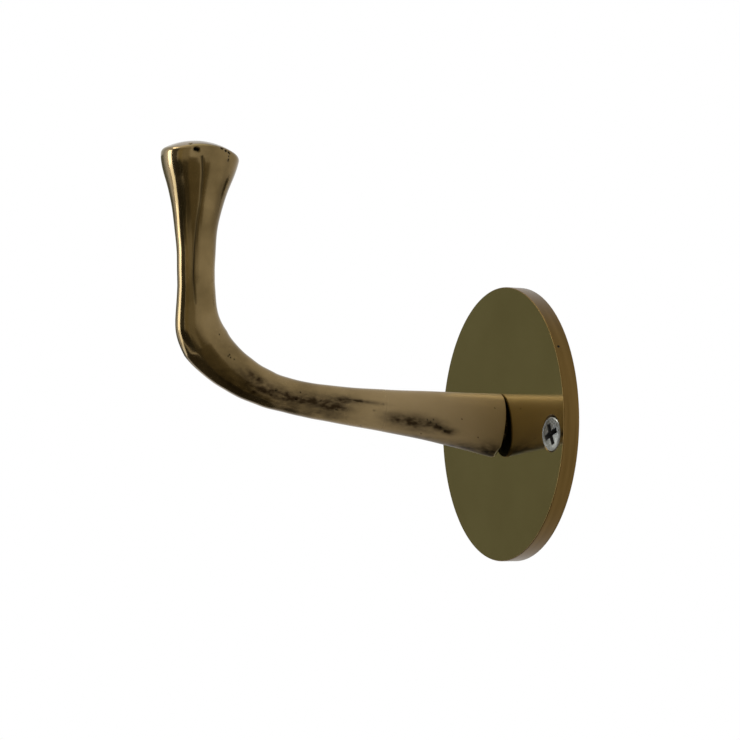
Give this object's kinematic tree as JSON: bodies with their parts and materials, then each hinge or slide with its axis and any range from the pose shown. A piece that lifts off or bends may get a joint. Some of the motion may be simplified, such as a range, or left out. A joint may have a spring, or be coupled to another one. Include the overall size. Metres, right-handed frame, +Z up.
{
  "type": "robe hook",
  "caption": "Wall robe hook: cast brass arm that rises to a flared, domed tip, on a round back plate with wall screws.",
  "frame": {"origin": "centre of the back plate's rear face, midway between the two wall screws", "axes": "+Y into the wall, so the hook stands out to -Y; +Z up; +X to the right as seen from the room"},
  "size_m": [0.06, 0.1037, 0.0864],
  "materials": {
    "plate_brass": "polished, slightly aged",
    "arm_brass": "cast, hand polished, with small pits",
    "screw_steel": "bright zinc plated"
  },
  "bodies": {
    "root": {"back_plate": "plate_brass", "hook_arm": "arm_brass", "arm_screw": "screw_steel", "wall_screws": "screw_steel"}
  },
  "joints": []
}
